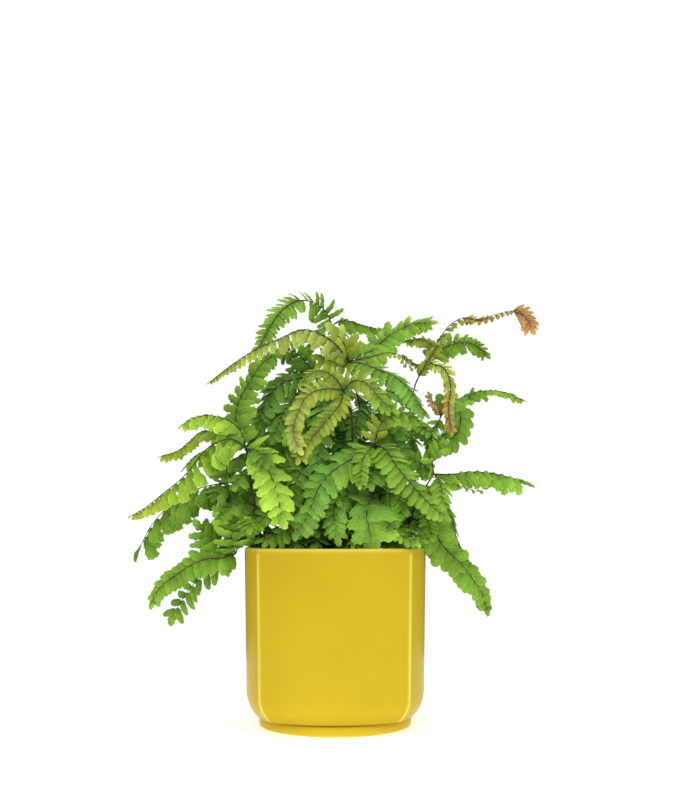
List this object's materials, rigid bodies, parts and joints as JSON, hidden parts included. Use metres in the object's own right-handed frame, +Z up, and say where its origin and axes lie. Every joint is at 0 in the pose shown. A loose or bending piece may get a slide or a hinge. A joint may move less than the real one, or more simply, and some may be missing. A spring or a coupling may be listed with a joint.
{
  "type": "potted fern",
  "caption": "Maidenhair fern with arching fronds of small lobed leaflets, standing in soil in a glazed yellow rounded-square pot.",
  "frame": {"origin": "middle of the pot's flat underside", "axes": "+Z up, the pictured side looks along -Y, +X to the viewer's right"},
  "size_m": [0.3428, 0.208, 0.3679],
  "materials": {
    "glaze": "gloss",
    "soil": "matte",
    "leaf": "satin",
    "leaf_olive": "satin",
    "leaf_deep": "satin",
    "stem": "satin"
  },
  "bodies": {
    "root": {"pot": "glaze", "soil": "soil", "frond_crown": "leaf", "frond_top": "leaf", "frond_left": "leaf", "frond_left_back": "leaf", "frond_left_low": "leaf", "frond_right_low": "leaf", "frond_right_mid": "leaf", "frond_right_up": "leaf", "frond_right_top": "leaf", "frond_olive": "leaf_olive", "frond_centre": "leaf", "frond_front_low": "leaf", "frond_front_left": "leaf", "frond_inner": "leaf_deep", "frond_inner_right": "leaf_deep", "frond_inner_low": "leaf_deep", "frond_back_left": "leaf", "frond_back": "leaf", "frond_back_right": "leaf", "frond_back_low_left": "leaf", "frond_back_low": "leaf", "frond_back_low_right": "leaf"}
  },
  "joints": []
}
